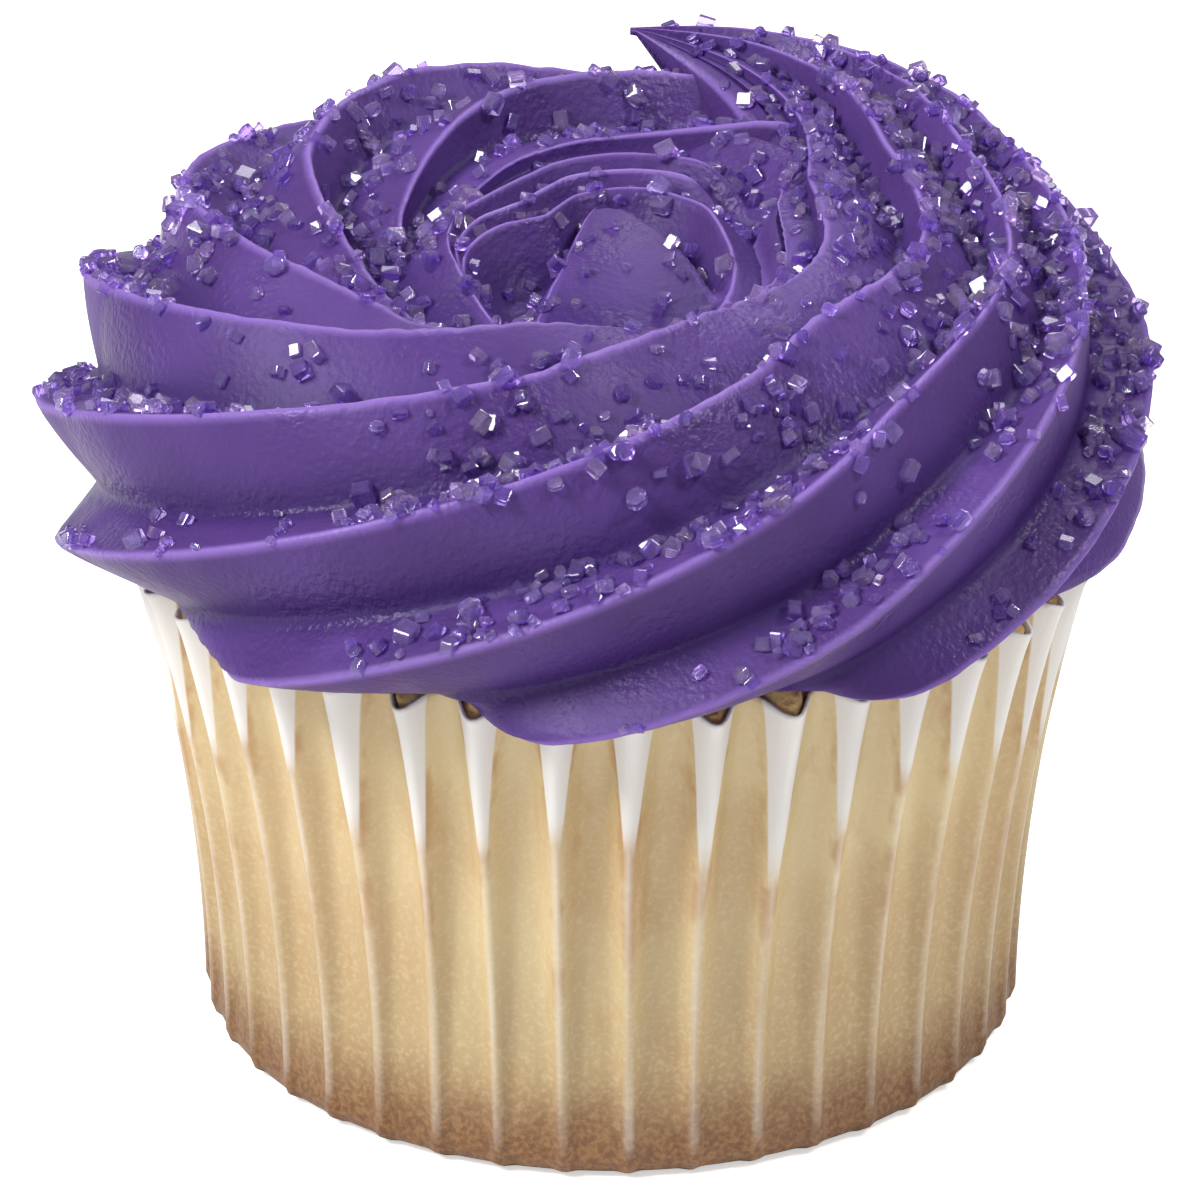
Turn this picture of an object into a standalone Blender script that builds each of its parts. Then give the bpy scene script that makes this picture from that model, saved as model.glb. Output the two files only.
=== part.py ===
"""Cupcake in its fluted paper case with one pass of star-tube icing.

World frame: metres, +Z up, the flat underside of the case on z = 0 and the case's axis on the Z axis.
The front is -Y. All driving sizes are named below in millimetres.

Three solids: paper_case, cake and icing. The icing is one rope of star section that is laid once
round the axis, anticlockwise from above, while it twists. It starts beside a leaf-shaped fold in
the middle and ends in a pulled tail at the back.
"""

import math

import bmesh
import bpy

MM = 0.001

# Paper case
PLEATS = 41
CASE_HEIGHT = 31.8
CASE_BASE_RADIUS = 25.0  # over the pleats
CASE_FLARE = 0.004  # mm of radius per mm squared of height
CASE_WALL = 0.45
CASE_FLOOR = 0.5
PLEAT_DEPTH_BASE = 0.3
PLEAT_DEPTH_RIM = 2.0
CASE_LEVELS = (1.3, 6.0, 15.0, 24.0, CASE_HEIGHT)
CASE_EDGE_DROP = 1.2  # how far the bottom edge is drawn in

# Cake
GAP = 0.3
CAKE_SHOULDER = 31.1
CROWN_EDGE_RISE = 1.5
CROWN_RISE = 3.0
CAKE_SIDES = 72

# Icing rope
CRESTS = 9
ROPE_RADIUS = 20.8  # axis of the case to the middle of the rope
ROPE_HEIGHT = 37.5  # middle of the rope
CREST_RADIUS = 12.5
CREST_RADIUS_UP = 12.0
VALLEY_DEPTH = 0.275  # share of the crest radius
VALLEY_PLACE = 0.30  # share of the way from one crest up to the next
ROPE_SHIFT_X = -0.7
ROPE_TILT = 0.055  # the back stands higher than the front
START_ANGLE = 112.0
START_SHARE = 0.72  # section radius at the start, as a share of the full one
END_ANGLE = 536.0
STATION_STEP = 7.6
TWIST_AT_FRONT = -18.0
TWIST_RATE = 1.07  # degrees of twist a degree round the axis
SLOW_TWIST_RATE = 0.8  # on the first stretch
SLOW_TWIST_TO = 240.0
TWIST_EASE_FROM = 392.0
TWIST_EASE_OVER = 22.0
CROWDING = 28.0  # degrees by which the crests crowd to the top on the right
CROWDING_CENTRE = 75.0
CROWDING_FROM = 380.0
CROWDING_TO = 450.0
PILING_FROM = 105.0  # section angle past which the crests pile up against the mound
PILING_START, PILING_FULL = 24.0, 46.0  # degrees they have to pile into, at the start and further on
PILING_FRONT = 32.0
SHOULDER = 0.17  # the section swells towards the middle, where the last stretch meets the mound
SHOULDER_ANGLE = 130.0
LOW_TUCK = 0.11  # the outer foot of the rope draws in on the right
SIDE_TUCK = 0.08
LOW_TUCK_ANGLE = 48.0
OVERLAP_LIFT = 2.0  # the end of the pass lies over its start
BACK_RISE = 1.3  # the first stretch is piped thicker at the back left
BACK_RISE_ANGLE = 205.0
TAIL_FROM = 478.0
TAIL_RADIUS = 27.0
TAIL_DROP = 0.6
OVERHANG = 1.2  # how far the front lobe hangs outside the rim
OVERHANG_SIDE = 3.0

# Middle: a leaf-shaped fold inside a curled arch, on the floor of the hollow
HOLLOW_X, HOLLOW_Y = -0.5, 1.2
HOLLOW_RADIUS = 16.0
HOLLOW_FLOOR = 44.4
ARCH_RADIUS = 7.9
ARCH_CLOSING = 0.009  # the arch nears the middle by this for each degree to the right
ARCH_SKEW = 3.6  # it runs straight across at the back left
ARCH_SKEW_SIDE, ARCH_SKEW_WIDTH = -48.0, 38.0
ARCH_STEP = 1.9  # from one fanned arch to the next
ARCH_INSIDE, ARCH_OUTSIDE = 3.0, 2.6  # how wide its two slopes are
ARCH_FOOT = 0.38  # the ground outside it, as a share of its height
FAN_GROUND = 0.92  # the same where the outer arches fan out
ARCH_TOP = 48.3
SMOOTH_FLANK = 4.6
LEAF_X, LEAF_Y, LEAF_TOP = -1.0, 6.2, 48.0  # the tip where the piping began
MIDDLE_SIDES = 32
MIDDLE_LEVELS = (HOLLOW_RADIUS, 14.0, 12.0, 10.2, 9.2, 8.3, 7.5, 6.3, 4.8, 3.2, 1.6)

ICING_FOOT = CASE_HEIGHT + GAP


def smooth(low, high, value):
    t = min(max((value - low) / (high - low), 0.0), 1.0)
    return t * t * (3.0 - 2.0 * t)


def add_material(obj, name, colour, roughness):
    material = bpy.data.materials.new(name)
    material.use_nodes = True
    shader = material.node_tree.nodes["Principled BSDF"]
    shader.inputs["Base Color"].default_value = (*colour, 1.0)
    shader.inputs["Roughness"].default_value = roughness
    obj.data.materials.append(material)


def object_from(name, points, faces):
    """A mesh object from points in millimetres and faces as tuples of indices."""
    mesh = bpy.data.meshes.new(name)
    mesh.from_pydata([tuple(c * MM for c in p) for p in points], [], faces)
    work = bmesh.new()
    work.from_mesh(mesh)
    bmesh.ops.recalc_face_normals(work, faces=work.faces)
    if work.calc_volume(signed=True) < 0:
        bmesh.ops.reverse_faces(work, faces=work.faces)
    work.to_mesh(mesh)
    work.free()
    obj = bpy.data.objects.new(name, mesh)
    bpy.context.scene.collection.objects.link(obj)
    return obj


def skin(rings, first_tip=None, last_tip=None):
    """Points and faces of rings joined in order, each end closed by a fan to its tip."""
    count = len(rings[0])
    points = [p for ring in rings for p in ring]
    faces = []
    for level in range(len(rings) - 1):
        low, high = level * count, (level + 1) * count
        for i in range(count):
            j = (i + 1) % count
            faces.append((low + i, low + j, high + j, high + i))
    for tip, start in ((first_tip, 0), (last_tip, (len(rings) - 1) * count)):
        points.append(tip)
        for i in range(count):
            faces.append((start + i, start + (i + 1) % count, len(points) - 1))
    return points, faces


def apply_boolean(obj, other, operation, use_self=False):
    modifier = obj.modifiers.new(operation.title(), "BOOLEAN")
    modifier.operation = operation
    modifier.solver = "EXACT"
    modifier.use_self = use_self
    modifier.object = other
    bpy.context.view_layer.update()
    graph = bpy.context.evaluated_depsgraph_get()
    mesh = bpy.data.meshes.new_from_object(obj.evaluated_get(graph))
    obj.modifiers.clear()
    obj.data = mesh
    bpy.data.objects.remove(other)


# ---- paper case -------------------------------------------------------------------------------


def ridge_radius(height):
    return CASE_BASE_RADIUS + CASE_FLARE * height * height


def pleat_depth(height):
    return PLEAT_DEPTH_BASE + (PLEAT_DEPTH_RIM - PLEAT_DEPTH_BASE) * height / CASE_HEIGHT


def pleat_ring(height, inset, draw_in=0.0):
    """One level of the fluted wall: a valley and the two shoulders of a ridge for each pleat."""
    ring = []
    for pleat in range(PLEATS):
        for offset, depth in ((-0.5, 1.0), (-0.17, 0.0), (0.17, 0.0)):
            angle = 2 * math.pi * (pleat + offset) / PLEATS
            radius = ridge_radius(height) - depth * pleat_depth(height) - inset - draw_in
            ring.append((radius * math.sin(angle), -radius * math.cos(angle), height))
    return ring


def build_case():
    outer = [pleat_ring(0.0, 0.0, CASE_EDGE_DROP)] + [pleat_ring(z, 0.0) for z in CASE_LEVELS]
    inner = [pleat_ring(z, CASE_WALL) for z in reversed(CASE_LEVELS[1:])]
    inner.append(
        [(x, y, CASE_FLOOR) for x, y, z in pleat_ring(CASE_LEVELS[0], CASE_WALL, CASE_EDGE_DROP / 2)]
    )
    case = object_from("paper_case", *skin(outer + inner, (0, 0, 0), (0, 0, CASE_FLOOR)))
    add_material(case, "paper", (0.72, 0.60, 0.38), 0.6)
    return case


# ---- cake -------------------------------------------------------------------------------------


def cake_radius(height):
    return ridge_radius(height) - pleat_depth(height) - CASE_WALL - GAP


def crown_height(radius, lift=0.0):
    """Height of the domed top, which turns down in a small curve at its edge."""
    share = min(radius / cake_radius(CAKE_SHOULDER), 1.0)
    edge = CROWN_EDGE_RISE * math.sqrt(max(1.0 - share**8, 0.0))
    return CAKE_SHOULDER + edge + CROWN_RISE * (1.0 - share * share) + lift


def circle(radius, height, sides):
    return [
        (radius * math.sin(2 * math.pi * i / sides), -radius * math.cos(2 * math.pi * i / sides), height)
        for i in range(sides)
    ]


def build_cake():
    foot = CASE_FLOOR + GAP
    rings = [circle(cake_radius(0.0) - CASE_EDGE_DROP - 0.3, foot, CAKE_SIDES)]
    rings += [circle(cake_radius(z) - 0.05, z, CAKE_SIDES) for z in (2.4, 12.0, 22.0, CAKE_SHOULDER)]
    edge = cake_radius(CAKE_SHOULDER) - 0.05
    for share in (0.985, 0.94, 0.84, 0.6, 0.3):
        rings.append(circle(edge * share, crown_height(edge * share), CAKE_SIDES))
    cake = object_from("cake", *skin(rings, (0, 0, foot), (0, 0, crown_height(0))))
    add_material(cake, "sponge", (0.72, 0.47, 0.20), 0.8)
    return cake


# ---- icing ------------------------------------------------------------------------------------


def rope_path(angle):
    """(radius, height, section radius) of the rope's middle at this angle round the axis."""
    gone = min(max((angle - TAIL_FROM) / (END_ANGLE - TAIL_FROM), 0.0), 1.0)
    left = max(1.0 - gone**1.6, 0.02)
    radius = ROPE_RADIUS + (TAIL_RADIUS - ROPE_RADIUS) * smooth(TAIL_FROM - 8, END_ANGLE - 10, angle)
    lift = OVERLAP_LIFT * smooth(440, 495, angle)
    lift += BACK_RISE * math.exp(-(((angle - BACK_RISE_ANGLE) / 30.0) ** 2))
    height = ROPE_HEIGHT + lift + CREST_RADIUS_UP * (1.0 - left) - TAIL_DROP * gone**2
    start = START_SHARE + (1.0 - START_SHARE) * smooth(START_ANGLE, 150, angle)
    return radius, height, CREST_RADIUS * left * start


def twist(angle):
    past = max(angle - TWIST_EASE_FROM, 0.0)
    eased = TWIST_EASE_OVER * (1.0 - math.exp(-past / TWIST_EASE_OVER))
    slow = (TWIST_RATE - SLOW_TWIST_RATE) * max(SLOW_TWIST_TO - angle, 0.0)
    return TWIST_AT_FRONT + TWIST_RATE * (min(angle, TWIST_EASE_FROM) - 360.0 + eased) + slow


def section_angle(phase, angle):
    """Where a point of the star ends up in the section, in degrees, and how much room it has there."""
    turned = phase + twist(angle)
    crowd = CROWDING * smooth(CROWDING_FROM, CROWDING_TO, angle)
    lean = math.radians(turned - CROWDING_CENTRE)
    room = max(1.0 - math.radians(crowd) * math.cos(lean), 0.0) ** 0.5
    turned -= crowd * math.sin(lean)
    past = (turned - PILING_FROM) % 360.0
    if past < 180.0:
        pile = PILING_START + (PILING_FULL - PILING_START) * smooth(165, 250, angle)
        pile += (PILING_FRONT - PILING_FULL) * smooth(310, 345, angle)
        over = 180.0 - pile * (1.0 - math.exp(-180.0 / PILING_FULL))
        turned += pile * (1.0 - math.exp(-past / pile)) + over * smooth(115, 180, past) - past
        room *= max(math.exp(-past / pile), 0.22)
    return turned, min(max(room, 0.2), 1.0)


def rope_point(angle, phase, bowl):
    """A point of the star section, where phase is its angle in the section before the twist."""
    radius, height, section = rope_path(angle)
    turned, room = section_angle(phase, angle)
    ratio = 1.0 - VALLEY_DEPTH * room * bowl
    lean = (turned - SHOULDER_ANGLE + 180.0) % 360.0 - 180.0
    swell = SHOULDER * math.exp(-((lean / 27.0) ** 2))
    ratio *= 1.0 + swell * smooth(305, 345, angle) * (1.0 - smooth(450, 500, angle))
    low = (turned + LOW_TUCK_ANGLE + 180.0) % 360.0 - 180.0
    tuck = LOW_TUCK * smooth(330, 360, angle) + SIDE_TUCK * smooth(395, 425, angle)
    ratio *= 1.0 - tuck * math.exp(-((low / 25.0) ** 2))
    turned = math.radians(turned)
    reach = radius + section * ratio * math.cos(turned)
    x = ROPE_SHIFT_X + reach * math.sin(math.radians(angle))
    y = -reach * math.cos(math.radians(angle))
    rise = section * ratio * CREST_RADIUS_UP / CREST_RADIUS * math.sin(turned)
    return (x, y, height + rise + ROPE_TILT * y)


def rope_ring(angle):
    ring = []
    pitch = 360.0 / CRESTS
    for crest in range(CRESTS):
        # crest, ledge above it, valley, steep face under the next crest
        for share, bowl in ((0.0, 0.0), (VALLEY_PLACE / 2, 0.65), (VALLEY_PLACE, 1.0), (0.65, 0.61)):
            ring.append(rope_point(angle, pitch * (crest + share), bowl))
    return ring


def middle(ring):
    return tuple(sum(p[i] for p in ring) / len(ring) for i in range(3))


def build_rope():
    count = round((END_ANGLE - START_ANGLE) / STATION_STEP)
    angles = [START_ANGLE + (END_ANGLE - START_ANGLE) * i / count for i in range(count + 1)]
    rings = [rope_ring(angle) for angle in angles]
    return object_from("icing", *skin(rings, middle(rings[0]), middle(rings[-1])))


def middle_height(x, y):
    """Height of the hollow's floor with the arch, the leaf and the smooth flank on it."""
    reach = math.hypot(x - HOLLOW_X, y - HOLLOW_Y)
    side = math.degrees(math.atan2(x - HOLLOW_X, y - HOLLOW_Y))
    skew = ARCH_SKEW * math.exp(-(((side - ARCH_SKEW_SIDE) / ARCH_SKEW_WIDTH) ** 2))
    base = ARCH_RADIUS - ARCH_CLOSING * side - skew
    off = reach - base - 1.5 * smooth(70, 130, side)
    rise = 1.0 - 0.5 * smooth(60, 130, abs(side + 8)) - 0.5 * smooth(105, 165, abs(side))
    if off < 0.0:
        arch = (ARCH_TOP - HOLLOW_FLOOR) * rise * min(max(1.0 + off / ARCH_INSIDE, 0.0), 1.0) ** 1.6
    else:
        # past the first arch the ground stays high, where the outer arches fan out
        level = 1.0 - (1.0 - ARCH_FOOT) * min(off / ARCH_OUTSIDE, 1.0) ** 0.7
        fan = ARCH_STEP * smooth(-125, -40, side) * (1.0 - smooth(30, 70, side))
        if off < 2.0 * fan:
            level = max(level, FAN_GROUND)
        arch = (ARCH_TOP - HOLLOW_FLOOR) * rise * level
    down = LEAF_Y - y
    lateral = x - LEAF_X - 0.08 * down
    body = LEAF_TOP - HOLLOW_FLOOR - 0.10 * down - 0.012 * down**2 - 0.035 * (lateral - 1.0) ** 2
    fall = smooth(-1.3, 0.05, lateral + 0.42 * down) * smooth(-0.8, 0.3, down)
    fall *= smooth(-1.0, 0.05, 2.3 * math.sqrt(max(down + 0.15, 0.0)) - lateral)
    flank = SMOOTH_FLANK * smooth(8.0, 15.5, reach) * (1.0 - smooth(25, 70, abs(side - 62)))
    height = HOLLOW_FLOOR + max(arch, max(body, 0.3) * fall, flank)
    if flank < 0.1:
        height -= 0.8 * smooth(11.0, 14.0, reach)
    return height + ROPE_TILT * y


def build_middle():
    """The middle of the swirl and the icing under it, so that the swirl is solid down to the cake."""
    rings = [circle(ROPE_RADIUS - 2.0, z, MIDDLE_SIDES) for z in (30.0, 38.0)]
    for radius in MIDDLE_LEVELS:
        flat = [(HOLLOW_X + x, HOLLOW_Y + y) for x, y, _ in circle(radius, 0.0, MIDDLE_SIDES)]
        rings.append([(x, y, middle_height(x, y)) for x, y in flat])
    tip = (HOLLOW_X, HOLLOW_Y, middle_height(HOLLOW_X, HOLLOW_Y))
    return object_from("middle", *skin(rings, (0, 0, 30.0), tip))


def build_seat():
    """What the icing rests on: the cake's dome, the case's rim and the air beside them."""
    rings = [circle(48.0, 18.0, CAKE_SIDES)]
    for radius, hung in ((48.0, 1.0), (31.3, 1.0), (29.9, 0.0)):
        ring = []
        for x, y, z in circle(radius, ICING_FOOT, CAKE_SIDES):
            side = math.degrees(math.atan2(x, -y))
            hang = 0.1 + OVERHANG * math.exp(-(((side - OVERHANG_SIDE) / 22.0) ** 2))
            ring.append((x, y, z - hung * hang))
        rings.append(ring)
    edge = cake_radius(CAKE_SHOULDER)
    for share in (1.0, 0.985, 0.94, 0.84, 0.6, 0.3):
        rings.append(circle(edge * share, max(crown_height(edge * share, GAP), ICING_FOOT), CAKE_SIDES))
    return object_from("seat", *skin(rings, (0, 0, 18.0), (0, 0, crown_height(0, GAP))))


def keep_outer_shell(work):
    """Fill every closed pocket and drop every crumb: only the largest shell stays."""
    waiting, shells = set(work.faces), []
    while waiting:
        edge = [waiting.pop()]
        shell = set(edge)
        while edge:
            for side in edge.pop().edges:
                new = waiting.intersection(side.link_faces)
                waiting -= new
                shell |= new
                edge.extend(new)
        shells.append(shell)
    shells.sort(key=len)
    spare = [face for shell in shells[:-1] for face in shell]
    bmesh.ops.delete(work, geom=spare, context="FACES")


def build_icing():
    icing = build_rope()
    apply_boolean(icing, build_middle(), "UNION", use_self=True)
    apply_boolean(icing, build_seat(), "DIFFERENCE")
    work = bmesh.new()
    work.from_mesh(icing.data)
    bmesh.ops.remove_doubles(work, verts=work.verts, dist=0.02 * MM)
    bmesh.ops.dissolve_degenerate(work, edges=work.edges, dist=0.01 * MM)
    bmesh.ops.triangulate(work, faces=work.faces)
    keep_outer_shell(work)
    work.to_mesh(icing.data)
    work.free()
    icing.name = "icing"
    icing.data.materials.clear()
    add_material(icing, "buttercream", (0.11, 0.05, 0.30), 0.4)
    return icing


def main():
    for obj in list(bpy.data.objects):
        bpy.data.objects.remove(obj)
    build_case()
    build_cake()
    build_icing()


main()
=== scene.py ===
"""A cupcake in its fluted paper case, with a ring of star-piped violet buttercream and coarse violet sugar.

Sizes are in millimetres in the constants and in metres in the panel. The front is -Y, the case stands
on z = 0 and its axis is the Z axis.
"""

import math

import bpy
import numpy as np
from bpy.props import FloatProperty, FloatVectorProperty, IntProperty, PointerProperty
from mathutils import Euler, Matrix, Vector, noise
from mathutils.bvhtree import BVHTree


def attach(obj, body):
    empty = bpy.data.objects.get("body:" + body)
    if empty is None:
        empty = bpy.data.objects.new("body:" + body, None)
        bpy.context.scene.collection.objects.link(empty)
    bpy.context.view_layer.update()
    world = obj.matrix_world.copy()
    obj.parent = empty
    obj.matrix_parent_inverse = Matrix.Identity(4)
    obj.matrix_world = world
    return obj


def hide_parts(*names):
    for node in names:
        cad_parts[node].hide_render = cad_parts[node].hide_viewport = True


bl_info = {
    "name": "Piped cupcake",
    "version": (1, 0, 0),
    "blender": (4, 5, 0),
    "location": "3D View > Sidebar > Cupcake",
    "description": "Paper case, sponge, piped buttercream and coarse sugar of a cupcake",
    "category": "Object",
}

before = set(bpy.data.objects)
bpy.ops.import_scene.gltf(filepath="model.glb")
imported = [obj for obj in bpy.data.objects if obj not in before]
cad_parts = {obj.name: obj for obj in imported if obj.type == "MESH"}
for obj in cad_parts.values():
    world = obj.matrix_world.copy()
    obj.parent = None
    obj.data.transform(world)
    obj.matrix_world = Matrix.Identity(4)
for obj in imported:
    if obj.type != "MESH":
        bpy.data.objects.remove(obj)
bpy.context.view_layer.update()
MM = 0.001

# Paper case
PLEATS = 41
PLEAT_TURN = 2.2  # degrees from the front to the first pleat
CASE_HEIGHT = 31.8
CASE_BASE_RADIUS = 25.0
CASE_FLARE = 0.004
CASE_WALL = 0.16
CORNER_HEIGHT, CORNER_INWARD = 1.3, 1.5  # the rounded bottom edge
FLOOR_ROWS, CORNER_ROWS = 0.10, 0.14  # shares of the grid's rows up to the floor's edge and the corner's top
PLEAT_DEPTH_BASE = 0.3
PLEAT_DEPTH_RIM = 2.0
PLEAT_WAVER = 0.16  # how far a pleat strays sideways at the rim, in pleats
WEDGE_REACH = 0.34  # share of the wall that a dry wedge runs down

# Cake
CAKE_SHOULDER = 31.1
CROWN_EDGE_RISE = 1.5
CROWN_RISE = 3.0
WALL_ROWS_FROM, WALL_ROWS_TO = 0.06, 0.40  # shares of the grid's rows where the side wall is
PLEATS_FILLED_FROM, PLEATS_FILLED_TO = 24.0, 29.0  # under the rim the batter rose into the pleats

# Icing rope
CRESTS = 9
ROPE_RADIUS = 20.8
ROPE_HEIGHT = 37.5
CREST_RADIUS = 12.5
CREST_RADIUS_UP = 12.0
VALLEY_DEPTH = 0.275  # share of the crest radius
VALLEY_PLACE = 0.30  # share of the way from one crest up to the next
ROPE_SHIFT_X = -0.7
ROPE_TILT = 0.055
START_ANGLE = 112.0
START_SHARE = 0.72  # section radius at the start, as a share of the full one
END_ANGLE = 536.0
TWIST_AT_FRONT = -18.0
TWIST_RATE = 1.07
SLOW_TWIST_RATE = 0.8  # on the first stretch
SLOW_TWIST_TO = 240.0
TWIST_EASE_FROM = 392.0
TWIST_EASE_OVER = 22.0
CROWDING = 28.0
CROWDING_CENTRE = 75.0
CROWDING_FROM = 380.0
CROWDING_TO = 450.0
PILING_FROM = 105.0  # section angle past which the crests pile up against the mound
PILING_START, PILING_FULL = 24.0, 46.0  # degrees they have to pile into, at the start and further on
PILING_FRONT = 32.0
SHOULDER = 0.17  # the section swells towards the middle, where the last stretch meets the mound
SHOULDER_ANGLE, SHOULDER_WIDTH = 130.0, 27.0
LOW_TUCK = 0.11  # the outer foot of the rope draws in on the right
SIDE_TUCK = 0.08
LOW_TUCK_ANGLE, LOW_TUCK_WIDTH = 48.0, 25.0
OVERLAP_LIFT = 2.0
BACK_RISE = 1.3  # the first stretch is piped thicker at the back left
BACK_RISE_ANGLE, BACK_RISE_WIDTH = 205.0, 30.0
TAIL_FROM = 478.0
TAIL_RADIUS = 27.0
TAIL_DROP = 0.6
ICING_FOOT = CASE_HEIGHT + 0.3
OVERHANG = 1.2  # how far the front lobe hangs outside the rim
OVERHANG_SIDE, OVERHANG_WIDTH = 3.0, 22.0
HANG_EVERYWHERE = 0.1
LEFT_UNDERCUT = 0.8
LEFT_UNDERCUT_SIDE, LEFT_UNDERCUT_WIDTH = -48.0, 20.0
UNDERCUT = 1.5  # how far each lobe tucks in for each millimetre it would hang below the rim

# Mound in the middle
HOLLOW_X, HOLLOW_Y = -0.5, 1.2
HOLLOW_RADIUS = 16.0
HOLLOW_FLOOR = 44.4
ARCHES = 3
ARCH_RADIUS = 7.9  # the curled lip behind the leaf
ARCH_CLOSING = 0.009  # the arch nears the middle by this for each degree to the right
ARCH_SKEW = 3.6  # it runs straight across at the back left
ARCH_SKEW_SIDE, ARCH_SKEW_WIDTH = -48.0, 38.0
ARCH_STEP = 1.9  # from one fanned arch to the next
ARCH_INSIDE, ARCH_OUTSIDE = 3.0, 2.6  # how wide the two slopes of an arch are
ARCH_FOOT = 0.38  # the ground outside it, as a share of its height
ARCH_TOP = 48.3
ARCH_RISE = 0.3  # each outer arch stands this much higher
RING_FIRST, RING_LAST = 0.42, 0.74  # shares of the grid's rings inside the first arch and the last
SEAM_RADIUS = 8.5  # of the first ring at the front, where the grid's seam is
SMOOTH_FLANK = 4.6
LEAF_X, LEAF_Y, LEAF_TOP = -1.0, 6.2, 48.0  # the tip where the piping began


# ---- small helpers ----------------------------------------------------------------------------


def linear(code):
    """An sRGB hex colour as linear RGBA."""
    out = []
    for i in (1, 3, 5):
        c = int(code[i : i + 2], 16) / 255
        out.append(c / 12.92 if c <= 0.04045 else ((c + 0.055) / 1.055) ** 2.4)
    return (*out, 1.0)


def smooth(low, high, value):
    t = np.clip((value - low) / (high - low), 0.0, 1.0)
    return t * t * (3.0 - 2.0 * t)


def noise_at(points, size, seed=0.0):
    """Smooth noise of about -1 to 1 at each point, with lumps of this size, both in millimetres."""
    shift = Vector((seed * 17.3, seed * 5.1, -seed * 9.7))
    return np.array([noise.noise(Vector(p) / size + shift) for p in points])


def deselect_all():
    if bpy.context.mode != "OBJECT":
        bpy.ops.object.mode_set(mode="OBJECT")
    bpy.ops.object.select_all(action="DESELECT")


def select_only(obj):
    deselect_all()
    obj.select_set(True)
    bpy.context.view_layer.objects.active = obj


def add_grid(name, across, along):
    """A flat grid primitive, and the place of each of its points across and along it, from 0 to 1."""
    deselect_all()
    bpy.ops.mesh.primitive_grid_add(x_subdivisions=across, y_subdivisions=along, size=1.0)
    obj = bpy.context.active_object
    obj.name = obj.data.name = name
    co = np.empty(len(obj.data.vertices) * 3)
    obj.data.vertices.foreach_get("co", co)
    co = co.reshape(-1, 3)
    return obj, co[:, 0] + 0.5, co[:, 1] + 0.5


def move_points(obj, points):
    """Put every point of the mesh at its place, given in millimetres."""
    obj.data.vertices.foreach_set("co", (np.asarray(points) * MM).ravel())
    obj.data.update()


def add_layer(obj, name, values):
    layer = obj.data.attributes.new(name, "FLOAT", "POINT")
    layer.data.foreach_set("value", np.asarray(values, dtype=np.float32))


def weld(obj, distance=1e-6):
    """Close the seam and the poles of a rolled-up grid and turn its faces outwards."""
    select_only(obj)
    bpy.ops.object.mode_set(mode="EDIT")
    bpy.ops.mesh.select_all(action="SELECT")
    bpy.ops.mesh.remove_doubles(threshold=distance)
    bpy.ops.mesh.normals_make_consistent(inside=False)
    bpy.ops.object.mode_set(mode="OBJECT")
    bpy.ops.object.shade_smooth()


def join(name, objects):
    deselect_all()
    for obj in objects:
        obj.select_set(True)
    bpy.context.view_layer.objects.active = objects[0]
    bpy.ops.object.join()
    objects[0].name = objects[0].data.name = name
    return objects[0]


def apply_modifiers(obj):
    select_only(obj)
    for modifier in list(obj.modifiers):
        bpy.ops.object.modifier_apply(modifier=modifier.name)


# ---- materials --------------------------------------------------------------------------------


def new_material(name):
    material = bpy.data.materials.new(name)
    material.use_nodes = True
    return material, material.node_tree, material.node_tree.nodes["Principled BSDF"]


def add(tree, kind, settings=None, **inputs):
    """Add a node. Inputs are named as the sockets are, or i0, i1, ..., and a value may be another socket."""
    node = tree.nodes.new(kind)
    for key, value in (settings or {}).items():
        setattr(node, key, value)
    for key, value in inputs.items():
        numbered = key[0] == "i" and key[1:].isdigit()
        socket = node.inputs[int(key[1:]) if numbered else key.replace("_", " ")]
        if isinstance(value, bpy.types.NodeSocket):
            tree.links.new(value, socket)
        else:
            socket.default_value = value
    return node


def blend(tree, share, low, high):
    """A colour mixed from low to high by share."""
    node = add(tree, "ShaderNodeMix", {"data_type": "RGBA"}, Factor=share)
    for index, value in ((6, low), (7, high)):
        if isinstance(value, bpy.types.NodeSocket):
            tree.links.new(value, node.inputs[index])
        else:
            node.inputs[index].default_value = value
    return node.outputs[2]


def ramp(tree, value, low, high, to_low=0.0, to_high=1.0):
    node = add(tree, "ShaderNodeMapRange", {"interpolation_type": "SMOOTHSTEP"}, Value=value)
    for key, number in (("From Min", low), ("From Max", high), ("To Min", to_low), ("To Max", to_high)):
        node.inputs[key].default_value = number
    return node.outputs[0]


def math_node(tree, operation, first, second=0.0):
    return add(tree, "ShaderNodeMath", {"operation": operation}, i0=first, i1=second).outputs[0]


def noise_node(tree, place, size, detail=2.0, rough=0.5):
    """Noise with lumps of this size in millimetres."""
    scale = 1.0 / (size * MM)
    node = add(tree, "ShaderNodeTexNoise", None, Vector=place, Scale=scale, Detail=detail, Roughness=rough)
    return node.outputs["Fac"]


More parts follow.
